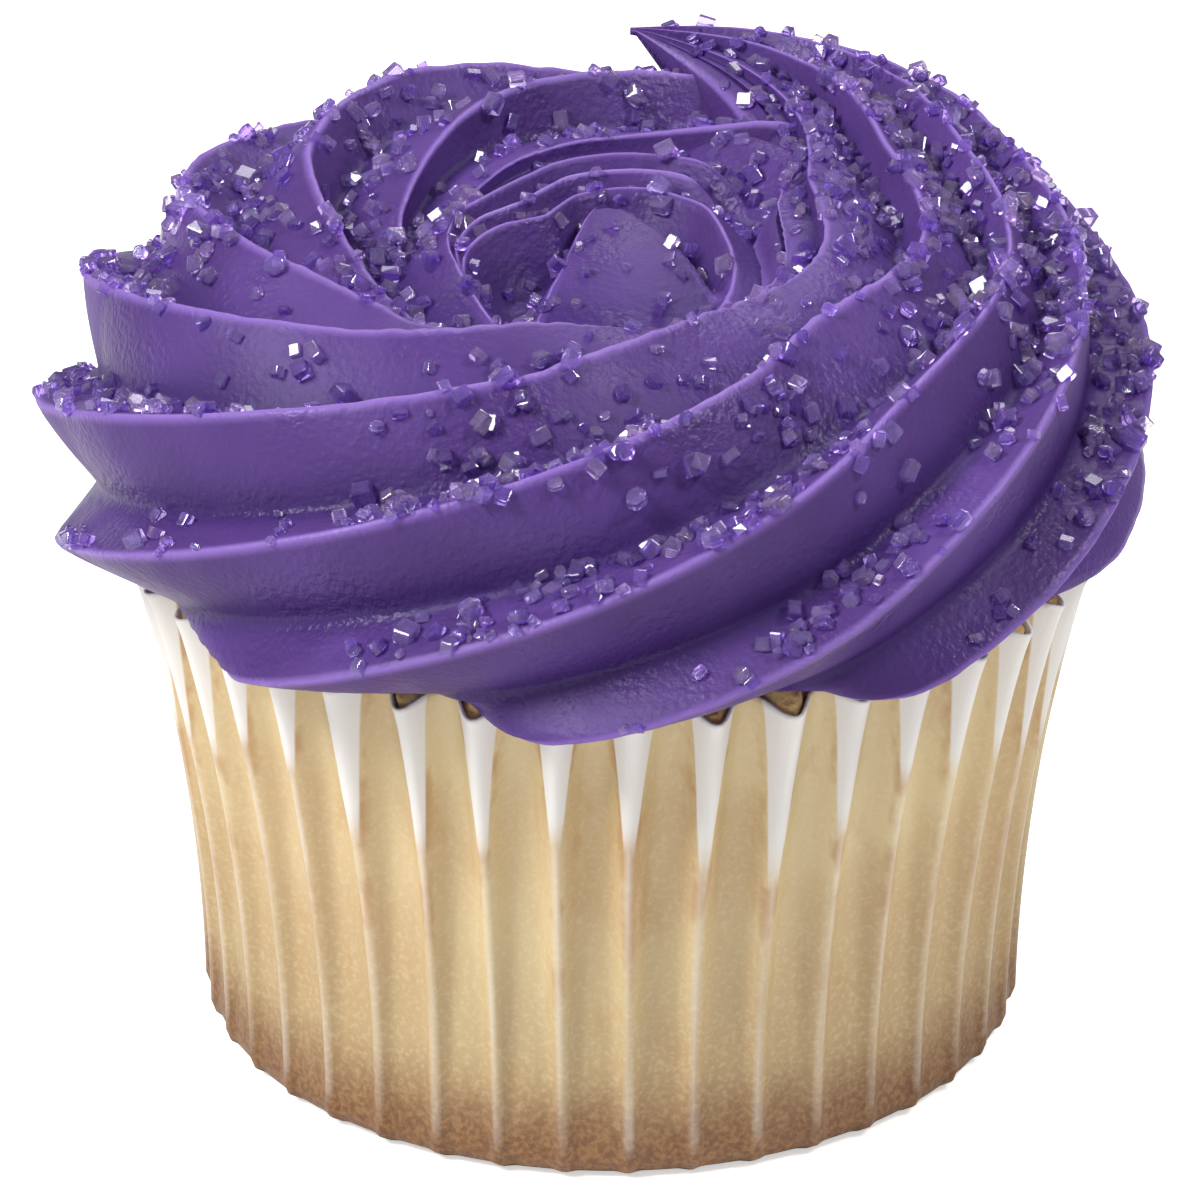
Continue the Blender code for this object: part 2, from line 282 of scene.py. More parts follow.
def buttercream():
    """American buttercream, whipped with shortening and piped: a smooth fat gloss, a little light in
    its surface, and a faint orange peel where it dragged on the nozzle."""
    look = bpy.context.scene.cupcake_icing
    material, tree, shader = new_material("violet_buttercream")
    place = add(tree, "ShaderNodeTexCoord").outputs["Object"]
    fold = add(tree, "ShaderNodeAttribute", {"attribute_name": "fold"}).outputs["Fac"]
    cloud = noise_node(tree, place, 9.0, 2.0)
    grain = noise_node(tree, place, 0.42, 2.0, 0.5)
    body = blend(tree, ramp(tree, cloud, 0.35, 0.65), (*look.shade, 1.0), (*look.body, 1.0))
    # painted shade: the valleys between the lips are darkened towards the fold colour
    colour = blend(tree, ramp(tree, fold, 0.0, 0.55, 0.75, 0.0), body, (*look.fold, 1.0))
    # painted highlight: the thin lips are lightened towards the lip colour, for the light that shines
    # through them and glints on them
    colour = blend(tree, ramp(tree, fold, 0.88, 1.0, 0.0, 0.8), colour, (*look.lip, 1.0))
    tree.links.new(colour, shader.inputs["Base Color"])
    patch = ramp(tree, noise_node(tree, place, 7.0, 1.0), 0.42, 0.62)
    tree.links.new(ramp(tree, patch, 0.0, 1.0, 0.5, 0.34), shader.inputs["Roughness"])
    peel = add(tree, "ShaderNodeBump", None, Height=grain, Distance=0.13 * MM)
    tree.links.new(ramp(tree, patch, 0.0, 1.0, 0.55, 1.0), peel.inputs["Strength"])
    tree.links.new(peel.outputs[0], shader.inputs["Normal"])
    shader.inputs["IOR"].default_value = 1.46
    shader.inputs["Specular IOR Level"].default_value = 0.25
    shader.inputs["Subsurface Weight"].default_value = 0.18
    shader.inputs["Subsurface Radius"].default_value = (0.9, 0.5, 1.0)
    shader.inputs["Subsurface Scale"].default_value = 0.0016
    return material


def greased_paper():
    """Bleached greaseproof paper, fluted by a press: white and dry where it stands off the cake,
    darkened and see-through with fat where it sticks to it, browned at the bottom by the oven."""
    look = bpy.context.scene.cupcake_case
    material, tree, shader = new_material("greaseproof_paper")
    place = add(tree, "ShaderNodeTexCoord").outputs["Object"]
    height = add(tree, "ShaderNodeSeparateXYZ", None, Vector=place).outputs["Z"]
    stand_off = add(tree, "ShaderNodeAttribute", {"attribute_name": "stand_off"}).outputs["Fac"]
    fade = add(tree, "ShaderNodeAttribute", {"attribute_name": "dry_fade"}).outputs["Fac"]
    line = add(tree, "ShaderNodeAttribute", {"attribute_name": "ridge_line"}).outputs["Fac"]
    wedge = math_node(tree, "MULTIPLY", ramp(tree, stand_off, 0.0, 0.08), fade)
    border = math_node(tree, "MULTIPLY", ramp(tree, stand_off, -0.34, 0.0), ramp(tree, height, 0.008, 0.016))
    across = add(tree, "ShaderNodeMapping", None, Vector=place)
    across.inputs["Scale"].default_value = (1.0, 1.0, 0.45)
    mottle = noise_node(tree, across.outputs[0], 2.2, 3.0, 0.6)
    fine = noise_node(tree, place, 0.34, 3.0, 0.6)
    broad = noise_node(tree, place, 14.0, 1.0)
    wet = blend(tree, ramp(tree, broad, 0.35, 0.65), (*look.greased, 1.0), (*look.greased_deep, 1.0))
    wet = blend(tree, ramp(tree, height, 0.002, 0.022, 0.9, 0.0), wet, (*look.greased_low, 1.0))
    wet = blend(tree, ramp(tree, mottle, 0.5, 0.75, 0.0, 0.35), wet, linear("#B98F5E"))
    wet = blend(tree, ramp(tree, fine, 0.45, 0.7, 0.0, 0.22), wet, linear("#EADBB8"))
    brown = blend(tree, ramp(tree, fine, 0.35, 0.7), linear("#6C4425"), linear("#94693F"))
    edge = math_node(tree, "ADD", height, math_node(tree, "MULTIPLY", mottle, 0.004))
    wet = blend(tree, ramp(tree, edge, 0.0034, 0.0100, 0.95, 0.0), wet, brown)
    stain = math_node(tree, "MULTIPLY", border, ramp(tree, mottle, 0.46, 0.62))
    wet = blend(tree, math_node(tree, "MULTIPLY", stain, 0.55), wet, linear("#B07C48"))
    dry = math_node(tree, "MAXIMUM", wedge, line)
    colour = blend(tree, dry, wet, (*look.dry, 1.0))
    tree.links.new(colour, shader.inputs["Base Color"])
    tree.links.new(ramp(tree, dry, 0.0, 1.0, 0.42, 0.62), shader.inputs["Roughness"])
    fibre = add(tree, "ShaderNodeBump", None, Height=fine, Distance=0.05 * MM, Strength=0.35)
    tree.links.new(fibre.outputs[0], shader.inputs["Normal"])
    shader.inputs["Subsurface Weight"].default_value = 0.12
    shader.inputs["Subsurface Radius"].default_value = (1.0, 0.8, 0.5)
    shader.inputs["Subsurface Scale"].default_value = 0.0012
    return material


def sponge():
    """Baked vanilla sponge: a dry, open crumb, gold with paler patches, and painted shade that darkens the
    holes in the crumb.
    """
    look = bpy.context.scene.cupcake_cake
    material, tree, shader = new_material("vanilla_sponge")
    place = add(tree, "ShaderNodeTexCoord").outputs["Object"]
    pore_shade = add(tree, "ShaderNodeTexVoronoi", None, Vector=place, Scale=1.0 / (0.9 * MM)).outputs["Distance"]
    crumb = noise_node(tree, place, 0.6, 3.0, 0.6)
    colour = blend(tree, ramp(tree, crumb, 0.35, 0.65), (*look.crust, 1.0), (*look.crumb, 1.0))
    # painted shade: the holes in the crumb are darkened towards a brown
    colour = blend(tree, ramp(tree, pore_shade, 0.5, 0.1, 0.0, 0.35), colour, linear("#7E5528"))
    tree.links.new(colour, shader.inputs["Base Color"])
    bump = add(tree, "ShaderNodeBump", None, Height=crumb, Distance=0.3 * MM, Strength=0.7)
    tree.links.new(bump.outputs[0], shader.inputs["Normal"])
    shader.inputs["Roughness"].default_value = 0.85
    shader.inputs["Subsurface Weight"].default_value = 0.1
    shader.inputs["Subsurface Radius"].default_value = (1.0, 0.6, 0.3)
    shader.inputs["Subsurface Scale"].default_value = 0.0012
    return material


def sanding_sugar(name, colour, roughness):
    """Coarse sanding sugar: clear sucrose crystals dyed violet, worn a little on their edges."""
    material, tree, shader = new_material(name)
    place = add(tree, "ShaderNodeTexCoord").outputs["Object"]
    cloud = noise_node(tree, place, 1.6, 1.0)
    paler = [min(1.0, c * 1.25 + 0.05) for c in colour[:3]]
    tint = blend(tree, ramp(tree, cloud, 0.35, 0.65), colour, (*paler, 1.0))
    tree.links.new(tint, shader.inputs["Base Color"])
    shader.inputs["Roughness"].default_value = roughness
    shader.inputs["IOR"].default_value = 1.54
    shader.inputs["Transmission Weight"].default_value = 0.9
    return material


# ---- shapes -----------------------------------------------------------------------------------


def ridge_radius(height):
    return CASE_BASE_RADIUS + CASE_FLARE * height * height


def pleat_depth(height):
    return PLEAT_DEPTH_BASE + (PLEAT_DEPTH_RIM - PLEAT_DEPTH_BASE) * height / CASE_HEIGHT


def pleat_unevenness(number):
    """A value from -1 to 1 that is the pleat's own."""
    return np.sin(number * 12.9898) * 0.5 + np.sin(number * 4.117) * 0.5


def wall_key(turn, climb):
    """Where the wall reads its noise: on a cylinder, so that no seam shows."""
    return np.stack([np.cos(turn) * 6, np.sin(turn) * 6, climb * 2.0], axis=-1)


def pleat_at(turn, climb):
    """How far out the wall stands here (1 on a ridge), the place in the pleat and the pleat's number."""
    pleat = turn / (2 * math.pi) * PLEATS - PLEAT_TURN / (360.0 / PLEATS)
    key = wall_key(turn, climb)
    pleat = pleat + PLEAT_WAVER * noise_at(key, 1.6, 7) * climb
    offset = np.mod(pleat + 0.5, 1.0) - 0.5
    number = np.mod(np.floor(pleat + 0.5), PLEATS)
    width = 0.13 + (0.27 + 0.035 * pleat_unevenness(number) - 0.13) * climb**1.2
    return np.exp(-((np.abs(offset) / width) ** 2.3)), offset, number


def cake_radius(height):
    return ridge_radius(height) - pleat_depth(height) - CASE_WALL - 0.15


def rope_path(angle):
    """Radius, height and section radius of the rope's middle at this angle round the axis."""
    gone = np.clip((angle - TAIL_FROM) / (END_ANGLE - TAIL_FROM), 0.0, 1.0)
    left = np.maximum(1.0 - gone**1.6, 0.02)
    radius = ROPE_RADIUS + (TAIL_RADIUS - ROPE_RADIUS) * smooth(TAIL_FROM - 8, END_ANGLE - 10, angle)
    lift = OVERLAP_LIFT * smooth(440, 495, angle)
    lift = lift + BACK_RISE * np.exp(-(((angle - BACK_RISE_ANGLE) / BACK_RISE_WIDTH) ** 2))
    height = ROPE_HEIGHT + lift + CREST_RADIUS_UP * (1.0 - left) - TAIL_DROP * gone**2
    start = START_SHARE + (1.0 - START_SHARE) * smooth(START_ANGLE, 150, angle)
    return radius, height, CREST_RADIUS * left * start


def twist(angle):
    past = np.maximum(angle - TWIST_EASE_FROM, 0.0)
    eased = TWIST_EASE_OVER * (1.0 - np.exp(-past / TWIST_EASE_OVER))
    slow = (TWIST_RATE - SLOW_TWIST_RATE) * np.maximum(SLOW_TWIST_TO - angle, 0.0)
    return TWIST_AT_FRONT + TWIST_RATE * (np.minimum(angle, TWIST_EASE_FROM) - 360.0 + eased) + slow


def crest_nearness(phase, crests):
    """0 in the valley and 1 on the lip, for a section angle in degrees before the twist."""
    share = np.mod(phase * crests / 360.0, 1.0)
    below = (VALLEY_PLACE - share) / VALLEY_PLACE
    above = (share - VALLEY_PLACE) / (1.0 - VALLEY_PLACE)
    return np.where(share < VALLEY_PLACE, below, above)


def section_angle(phase, angle):
    """Where a point of the star ends up in the section, in degrees, and how crowded it is there."""
    turned = phase + twist(angle)
    crowd = CROWDING * smooth(CROWDING_FROM, CROWDING_TO, angle)
    lean = np.radians(turned - CROWDING_CENTRE)
    room = 1.0 - np.radians(crowd) * np.cos(lean)
    turned = turned - crowd * np.sin(lean)
    past = np.mod(turned - PILING_FROM, 360.0)
    pile = PILING_START + (PILING_FULL - PILING_START) * smooth(165, 250, angle)
    pile = pile + (PILING_FRONT - PILING_FULL) * smooth(310, 345, angle)
    inner = past < 180.0
    # past the pile the angle catches up, so that nothing jumps half a turn on
    rest = 180.0 - pile * (1.0 - math.exp(-180.0 / PILING_FULL))
    squeezed = pile * (1.0 - np.exp(-past / pile)) + rest * smooth(115, 180, past)
    room = room**0.5 * np.where(inner, np.maximum(np.exp(-past / pile), 0.22), 1.0)
    return np.where(inner, turned - past + squeezed, turned), np.clip(room, 0.2, 1.0)


def rope_points(phase, angle, ratio):
    radius, height, section = rope_path(angle)
    turned = section_angle(phase, angle)[0]
    lean = np.mod(turned - SHOULDER_ANGLE + 180.0, 360.0) - 180.0
    last_stretch = smooth(305, 345, angle) * (1.0 - smooth(450, 500, angle))
    ratio = ratio * (1.0 + SHOULDER * np.exp(-((lean / SHOULDER_WIDTH) ** 2)) * last_stretch)
    low = np.mod(turned + LOW_TUCK_ANGLE + 180.0, 360.0) - 180.0
    tuck = LOW_TUCK * smooth(330, 360, angle) + SIDE_TUCK * smooth(395, 425, angle)
    ratio = ratio * (1.0 - tuck * np.exp(-((low / LOW_TUCK_WIDTH) ** 2)))
    turned = np.radians(turned)
    reach = radius + section * ratio * np.cos(turned)
    x = ROPE_SHIFT_X + reach * np.sin(np.radians(angle))
    y = -reach * np.cos(np.radians(angle))
    rise = section * ratio * CREST_RADIUS_UP / CREST_RADIUS * np.sin(turned)
    return np.stack([x, y, height + rise + ROPE_TILT * y], axis=-1)


def settle(points, foot, soft=0.35):
    """Flatten what would sink below the foot, with a small round edge, and tuck it in."""
    side = np.degrees(np.arctan2(points[:, 0], -points[:, 1]))
    hang = HANG_EVERYWHERE + OVERHANG * np.exp(-(((side - OVERHANG_SIDE) / OVERHANG_WIDTH) ** 2))
    foot = foot - hang * smooth(29.9, 31.3, np.hypot(points[:, 0], points[:, 1]))
    depth = (points[:, 2] - foot) / soft
    sunk = soft * np.logaddexp(0.0, np.clip(-depth, -60, 400))
    points[:, 2] = foot + soft * np.logaddexp(0.0, np.clip(depth, -60, 400))
    reach = np.maximum(np.hypot(points[:, 0], points[:, 1]), 1.0)
    tuck = UNDERCUT + LEFT_UNDERCUT * np.exp(-(((side - LEFT_UNDERCUT_SIDE) / LEFT_UNDERCUT_WIDTH) ** 2))
    shrink = 1.0 - tuck * np.minimum(sunk, 4.0) * smooth(22.0, 27.0, reach) / reach
    points[:, 0] *= shrink
    points[:, 1] *= shrink
    return points


def model_rope():
    around = CRESTS * 18
    obj, across, along = add_grid("icing_rope", around, 500)
    # points crowd towards each lip, so that its edge stays thin
    cell = across * CRESTS
    share = cell - np.floor(cell + 1e-9)
    phase = 360.0 / CRESTS * (np.floor(cell + 1e-9) + share - 0.06 * np.sin(2 * math.pi * share))
    angle = START_ANGLE + (END_ANGLE - START_ANGLE) * along
    near = crest_nearness(phase, CRESTS)
    lip = np.clip(near, 0.0, 1.0)
    rounded = 1.0 - np.sqrt((1.0 - lip) ** 2 + 0.035**2) + 0.035
    # each lip waves and tears a little along its length; every crest has its own noise
    crest = np.mod(np.round(phase * CRESTS / 360.0 - VALLEY_PLACE + 0.5), CRESTS)
    key = np.stack([angle * 0.36, crest * 40.0, 0 * angle], axis=-1)
    wave = 0.012 * noise_at(key, 9.0) + 0.009 * noise_at(key, 2.4, 1) + 0.009 * noise_at(key, 0.9, 2)
    room = section_angle(phase, angle)[1]
    below = np.mod(phase * CRESTS / 360.0, 1.0) < VALLEY_PLACE
    bowl = 1.0 - np.where(below, rounded**1.5, rounded**1.35)
    ratio = 1.0 - VALLEY_DEPTH * room * bowl + wave * lip**6
    points = rope_points(phase, angle, ratio)
    ratio += 0.008 * noise_at(points, 7.0, 3) + 0.003 * noise_at(points, 2.5, 4)
    points = settle(rope_points(phase, angle, ratio), ICING_FOOT)
    move_points(obj, points)
    # the fold layer is 0 in the valleys, which get painted shade, and 1 on the lips, which get a painted
    # highlight
    add_layer(obj, "fold", lip)
    weld(obj)
    bpy.ops.object.mode_set(mode="EDIT")
    bpy.ops.mesh.select_all(action="DESELECT")
    bpy.ops.mesh.select_non_manifold()
    bpy.ops.mesh.fill_holes(sides=0)
    bpy.ops.mesh.select_all(action="SELECT")
    bpy.ops.mesh.normals_make_consistent(inside=False)
    bpy.ops.object.mode_set(mode="OBJECT")
    return obj


def model_mound():
    """The start of the piping: a leaf-shaped fold inside curled arches, on the floor of the hollow."""
    obj, across, along = add_grid("icing_mound", 160, 80)
    turn = np.radians(360.0 * across)
    share = np.clip(along / 0.9, 0.0, 1.0)
    # the arch runs from the left round the back to the right, a little nearer the middle as it goes
    side = 180.0 - 360.0 * across
    skew = ARCH_SKEW * np.exp(-(((side - ARCH_SKEW_SIDE) / ARCH_SKEW_WIDTH) ** 2))
    base = ARCH_RADIUS - ARCH_CLOSING * side - skew + 1.5 * smooth(70, 130, side)
    key = np.stack([np.sin(turn) * base, -np.cos(turn) * base, 0 * base], axis=-1)
    base = base - 0.16 * noise_at(key, 2.6, 21) - 0.05 * noise_at(key, 0.9, 22)
    spread = ARCH_STEP * smooth(-125, -40, side)
    # the grid's rings follow the arches, so that no lip crosses them
    even = smooth(150, 178, np.abs(side))
    first = base + (SEAM_RADIUS - base) * even
    gap = np.maximum(spread, 0.25) * (1.0 - even) + even
    fan = 2.0 * gap
    reach = first * np.clip(share / RING_FIRST, 0.0, 1.0)
    reach += fan * np.clip((share - RING_FIRST) / (RING_LAST - RING_FIRST), 0.0, 1.0)
    reach += (HOLLOW_RADIUS - first - fan) * np.clip((share - RING_LAST) / (1.0 - RING_LAST), 0.0, 1.0)
    x = HOLLOW_X + reach * np.sin(turn)
    y = HOLLOW_Y - reach * np.cos(turn)
    flat = np.stack([x, y, 0 * x], axis=-1)
    wobble = 0.18 * noise_at(flat, 2.6, 21) + 0.07 * noise_at(flat, 0.9, 22)
    fade = 0.5 * smooth(60, 130, np.abs(side + 8)) + 0.5 * smooth(105, 165, np.abs(side))
    rise = (ARCH_TOP - HOLLOW_FLOOR) * (1.0 - fade)
    arch, lip = 0.0 * reach, 0.0 * reach
    for step in range(ARCHES):
        # the outer arches fan out from the left and fade on the right
        shown = 1.0 - smooth(30, 70, side) * (step > 0)
        off = reach - base - step * spread
        inside = np.clip(1.0 + off / ARCH_INSIDE, 0.0, 1.0) ** 1.6
        outside = 1.0 - (1.0 - ARCH_FOOT) * np.clip(off / ARCH_OUTSIDE, 0.0, 1.0) ** 0.9
        slope = np.where(off < 0.0, inside, outside)
        arch = np.maximum(arch, (rise + ARCH_RISE * step) * shown * slope)
        lip = np.maximum(lip, shown * np.exp(-((off / 0.45) ** 2)))
    # the leaf falls away to the front from its tip, between a straight left edge and a curved right one
    down = LEAF_Y - y
    lateral = x - LEAF_X - 0.08 * down
    left_edge = lateral + 0.42 * down + wobble
    right_edge = 2.3 * np.sqrt(np.maximum(down + 0.15, 0.0)) - lateral + wobble
    body = (LEAF_TOP - HOLLOW_FLOOR) - 0.10 * down - 0.012 * down**2 - 0.035 * (lateral - 1.0) ** 2
    fall = smooth(-1.3, 0.05, left_edge) * smooth(-1.0, 0.05, right_edge) * smooth(-0.8, 0.3, down)
    leaf = np.maximum(body, 0.3) * fall
    # a thin curl leaves the tip to the left
    curl_off = np.hypot(x - LEAF_X + 2.4, (y - LEAF_Y + 1.9) * 0.9) - 2.9 + 0.5 * wobble
    curl = 2.5 * np.exp(-((curl_off / 0.55) ** 2))
    curl *= smooth(-3.4, -0.5, y - LEAF_Y) * smooth(0.6, -0.8, x - LEAF_X)
    # on the right, a smooth flank climbs from the arch to the last stretch of the rope
    flank = SMOOTH_FLANK * smooth(8.0, 15.5, reach) * (1.0 - smooth(25, 70, np.abs(side - 62)))
    height = HOLLOW_FLOOR + np.maximum(np.maximum(np.maximum(arch, leaf), curl), flank)
    height -= 0.8 * smooth(11.0, 14.0, reach) * (flank < 0.1)
    height += 0.06 * noise_at(flat, 3.0, 23) + 0.02 * noise_at(flat, 0.9, 24)
    # the fold layer is near 1 on the leaf's edges and the arches' lips, which get a painted highlight
    lip = np.maximum(lip, np.exp(-((np.minimum(left_edge, right_edge) / 0.4) ** 2)) * (down > 0))
    # painted shade: low on the floor of the hollow the fold layer falls towards 0, so the floor is darkened
    lip = np.maximum(lip, 0.45 * smooth(0.4, 2.8, height - HOLLOW_FLOOR))
    closing = np.clip((along - 0.9) / 0.1, 0.0, 1.0)
    height = np.where(closing > 0.0, HOLLOW_FLOOR - 0.6 - 6.0 * closing, height)
    shut = np.where(along > 0.9, 1.0 - closing, 1.0)
    points = np.stack([HOLLOW_X + (x - HOLLOW_X) * shut, HOLLOW_Y + (y - HOLLOW_Y) * shut, height], axis=-1)
    points[:, 2] += ROPE_TILT * points[:, 1]
    move_points(obj, points)
    add_layer(obj, "fold", lip * (closing <= 0.0))
    weld(obj, 1e-5)
    return obj


# ---- sizes and colours ------------------------------------------------------------------------


def colour_property(name, description, code):
    return FloatVectorProperty(
        name=name,
        description=description,
        subtype="COLOR",
        size=3,
        min=0.0,
        max=1.0,
        default=linear(code)[:3],
    )


def length_property(name, description, default, precision=5):
    return FloatProperty(
        name=name, description=description, default=default, unit="LENGTH", precision=precision
    )


class CupcakeCase(bpy.types.PropertyGroup):
    greased: colour_property("Greased paper", "Where the paper sticks to the cake", "#DCC79A")
    greased_deep: colour_property("Deep grease", "Where the crumb shows through most", "#CDB184")
    greased_low: colour_property("Low grease", "Towards the bottom of the case", "#AD9166")
    dry: colour_property("Dry paper", "Where the paper stands off the cake", "#EAE6E0")
    wall: length_property("Wall", "Thickness of the paper wall", CASE_WALL * MM)


class CupcakeCake(bpy.types.PropertyGroup):
    crust: colour_property("Crust", "Browned top of the sponge", "#D8AE6C")
    crumb: colour_property("Crumb", "Pale crumb in patches", "#E2C48C")
    rough: length_property("Crumb height", "How far the crumb stands up", 0.0003)


class CupcakeIcing(bpy.types.PropertyGroup):
    body: colour_property("Body", "Colour of the buttercream", "#563B80")
    shade: colour_property("Cloud", "Deeper clouds in the buttercream", "#4D3373")
    # painted shade: the colour that the valleys of the piped folds are darkened towards
    fold: colour_property("Fold", "Bottom of the piped folds", "#321D5C")
    # painted highlight: the colour that the thin lips are lightened towards
    lip: colour_property("Lip", "Thin lips of the piped folds", "#8A6CBA")


class CupcakeSugar(bpy.types.PropertyGroup):
    count: IntProperty(
        name="Crystals", description="How many crystals are dropped", default=2050, min=0, max=6000
    )
    length: length_property("Crystal", "Usual length of a crystal", 0.00085)
    light: colour_property("Light", "Lightly dyed crystals", "#CFB8FA")
    deep: colour_property("Deep", "Deeply dyed crystals", "#B491EC")


class CupcakeStage(bpy.types.PropertyGroup):
    floor: colour_property("Floor", "Floor and backdrop", "#F2F1EF")
    distance: length_property("Camera distance", "From the camera to the middle of the cake", 0.32, 3)
    elevation: FloatProperty(
        name="Camera elevation",
        description="How far above level the camera stands",
        default=math.radians(24.8),
        subtype="ANGLE",
    )


# ---- operators --------------------------------------------------------------------------------


class OBJECT_OT_cupcake_case(bpy.types.Operator):
    """Press the fluted paper case"""

    bl_idname = "object.cupcake_case"
    bl_label = "Paper case"

    def execute(self, context):
        obj, across, along = add_grid("paper_case_shell", PLEATS * 14, 64)
        turn = 2 * math.pi * across
        # the first rows make the floor, a few turn the corner and the rest climb the wall
        climb = np.clip((along - CORNER_ROWS) / (1.0 - CORNER_ROWS), 0.0, 1.0)
        height = CASE_HEIGHT * climb
        ridge, offset, number = pleat_at(turn, climb)
        vary = pleat_unevenness(number)
        key = wall_key(turn, climb)
        radius = ridge_radius(height) - pleat_depth(height) * (1.0 - ridge)
        radius += 0.12 * noise_at(key, 1.1, 8) * climb
        corner = np.clip((along - FLOOR_ROWS) / (CORNER_ROWS - FLOOR_ROWS), 0.0, 1.0)
        inward = CORNER_INWARD * (1.0 - np.sin(corner * math.pi / 2))
        foot_radius = (radius - inward) * np.clip(along / FLOOR_ROWS, 0.0, 1.0)
        wall_radius = np.where(climb <= 0.0, radius - inward, radius)
        radius = np.where(along < FLOOR_ROWS, foot_radius, wall_radius)
        corner_height = CORNER_HEIGHT * (1.0 - np.cos(corner * math.pi / 2))
        wall_height = CORNER_HEIGHT + (CASE_HEIGHT - CORNER_HEIGHT) * climb
        height = np.where(along < CORNER_ROWS, corner_height, wall_height)
        # the rim dips a little over each ridge, where the press stretched the paper
        height = height + climb**8 * (0.25 * noise_at(key, 0.7, 9) - 0.75 * ridge * climb**16)
        move_points(obj, np.stack([radius * np.sin(turn), -radius * np.cos(turn), height], axis=-1))
        # dry wedges run down each ridge from the rim to a point
        reach = WEDGE_REACH + 0.08 * np.sin(number * 7.31) + 0.05 * vary
        need = 0.22 + 0.72 * np.clip((1.0 - climb) / reach, 0.0, 1.0) ** 0.8
        fade = smooth(1.0 - reach * 1.02, 1.0 - reach * 0.7, climb)
        line = 0.5 * np.exp(-((offset / 0.045) ** 2)) * smooth(0.0, 0.05, climb)
        line *= 0.7 + 0.6 * noise_at(key, 0.5, 10)
        add_layer(obj, "stand_off", ridge - need)
        add_layer(obj, "dry_fade", fade)
        add_layer(obj, "ridge_line", line)
        weld(obj)
        wall = obj.modifiers.new("Paper", "SOLIDIFY")
        wall.thickness = context.scene.cupcake_case.wall
        wall.offset = -1.0
        apply_modifiers(obj)
        obj.data.materials.append(greased_paper())
        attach(obj, "root")
        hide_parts("paper_case")
        return {"FINISHED"}


class OBJECT_OT_cupcake_cake(bpy.types.Operator):
    """Bake the sponge with its domed, crumbly top"""

    bl_idname = "object.cupcake_cake"
    bl_label = "Sponge"

    def execute(self, context):
        obj, across, along = add_grid("sponge_cake", PLEATS * 14, 110)
        turn = 2 * math.pi * across
        wall = np.clip((along - WALL_ROWS_FROM) / (WALL_ROWS_TO - WALL_ROWS_FROM), 0.0, 1.0)
        crown = np.clip((along - WALL_ROWS_TO) / (1.0 - WALL_ROWS_TO), 0.0, 1.0)
        top = cake_radius(CAKE_SHOULDER)
        height = 0.9 + (CAKE_SHOULDER - 0.9) * wall
        radius = (cake_radius(height) - 0.1) * np.where(along < WALL_ROWS_FROM, along / WALL_ROWS_FROM, 1.0)
        share = 1.0 - crown**1.4
        edge = CROWN_EDGE_RISE * np.sqrt(np.maximum(1.0 - share**8, 0.0))
        dome = CAKE_SHOULDER + edge + CROWN_RISE * (1.0 - share**2)
        radius = np.where(crown > 0.0, (top - 0.1) * share, radius)
        height = np.where(crown > 0.0, dome, height)
        filled = smooth(PLEATS_FILLED_FROM, PLEATS_FILLED_TO, height) * smooth(0.86, 0.97, radius / top)
        ridge = pleat_at(turn, np.clip(height / CASE_HEIGHT, 0.0, 1.0))[0]
        radius = radius + PLEAT_DEPTH_RIM * filled * ridge
        points = np.stack([radius * np.sin(turn), -radius * np.cos(turn), height], axis=-1)
        rough = context.scene.cupcake_cake.rough / MM
        lump = rough * (noise_at(points, 1.3, 11) + 0.7 * noise_at(points, 0.6, 12)) * (crown > 0.0)
        points[:, 2] += lump
        points[:, 0] *= 1.0 + lump / 40.0
        points[:, 1] *= 1.0 + lump / 40.0
        move_points(obj, points)
        weld(obj, 1e-5)
        obj.data.materials.append(sponge())
        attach(obj, "root")
        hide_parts("cake")
        return {"FINISHED"}


class OBJECT_OT_cupcake_icing(bpy.types.Operator):
    """Pipe the star-shaped rope of buttercream round its mound"""

    bl_idname = "object.cupcake_icing"
    bl_label = "Buttercream swirl"

    def execute(self, context):
        icing = join("buttercream_swirl", [model_rope(), model_mound()])
        icing.data.materials.append(buttercream())
        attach(icing, "root")
        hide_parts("icing")
        return {"FINISHED"}


# Where the sugar lies thickly: plan x, plan y, spread and weight
SUGAR_DRIFTS = (
    (25.0, 4.0, 7.0, 1.0),
    (27.0, -8.0, 6.0, 0.8),
    (19.0, 19.0, 6.0, 0.8),
    (12.0, 10.0, 5.0, 0.25),
    (-20.0, 14.0, 6.0, 0.45),
    (-30.0, 2.0, 4.0, 0.6),
    (-28.0, -13.0, 4.0, 0.4),
    (-5.0, -29.5, 5.0, 0.8),
    (10.0, -28.0, 6.0, 0.4),
    (0.0, 22.0, 8.0, 0.22),
    (-12.0, -2.0, 7.0, 0.16),
    (3.0, 3.0, 7.0, 0.06),
)
SUGAR_EVERYWHERE = 0.13
LOWEST_SUGAR = 0.0325  # metres
DROP_HEIGHT = 0.09  # metres


